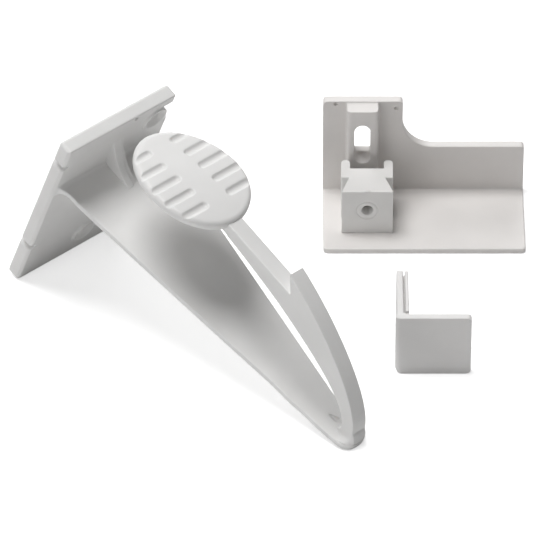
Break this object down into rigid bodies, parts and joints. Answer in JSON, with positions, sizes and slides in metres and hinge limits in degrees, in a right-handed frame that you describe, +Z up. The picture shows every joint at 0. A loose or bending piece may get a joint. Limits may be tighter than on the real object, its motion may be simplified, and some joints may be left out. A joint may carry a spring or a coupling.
{
  "type": "cabinet safety lock",
  "caption": "Child safety lock for cupboards and drawers: screw-on plate with a hairpin spring latch and thumb pad, slotted strike bracket with sliding keeper block, and a spacer clip.",
  "frame": {"origin": "bottom centre of the bounding box of the pieces as laid out, on the surface that they lie on", "axes": "+X to the right, from the latch's plate to the bracket; +Y away from the viewer; +Z up"},
  "size_m": [0.1231, 0.0994, 0.0499],
  "materials": {
    "latch_plastic": "satin",
    "bracket_plastic": "satin",
    "keeper_plastic": "satin",
    "clip_plastic": "satin"
  },
  "bodies": {
    "strike_bracket": {"bracket_base": "bracket_plastic", "bracket_wall": "bracket_plastic", "slotted_rail": "bracket_plastic"},
    "keeper": {"keeper_block": "keeper_plastic"},
    "latch_mount": {"mounting_plate": "latch_plastic", "blade_root": "latch_plastic"},
    "latch_blade": {"spring_blade": "latch_plastic"},
    "latch_arm": {"hook_arm": "latch_plastic", "thumb_pad": "latch_plastic"},
    "spacer_clip": {"clip_front": "clip_plastic", "clip_leg": "clip_plastic"}
  },
  "joints": [
    {"name": "keeper_lift", "type": "slide", "parent": "strike_bracket", "child": "keeper", "axis": [0, 0, 1], "range_m": [0, 0.013]},
    {"name": "latch_lift", "type": "slide", "parent": "strike_bracket", "child": "latch_mount", "axis": [0, 0, 1], "range_m": [0, 0.02]},
    {"name": "clip_lift", "type": "slide", "parent": "strike_bracket", "child": "spacer_clip", "axis": [0, 0, 1], "range_m": [0, 0.02]},
    {"name": "blade_flex", "type": "hinge", "parent": "latch_mount", "child": "latch_blade", "pos_m": [-0.03101, 0.00764, 0.02998], "axis": [0.7314, 0.682, 0], "range_deg": [0, 6], "stiffness_Nm_per_rad": 0.31, "springref_deg": -2.01},
    {"name": "arm_flex", "type": "hinge", "parent": "latch_blade", "child": "latch_arm", "pos_m": [0.019, -0.04599, 0.00346], "axis": [-0.7314, -0.682, 0], "range_deg": [0, 9], "stiffness_Nm_per_rad": 0.35, "springref_deg": -2.01}
  ]
}
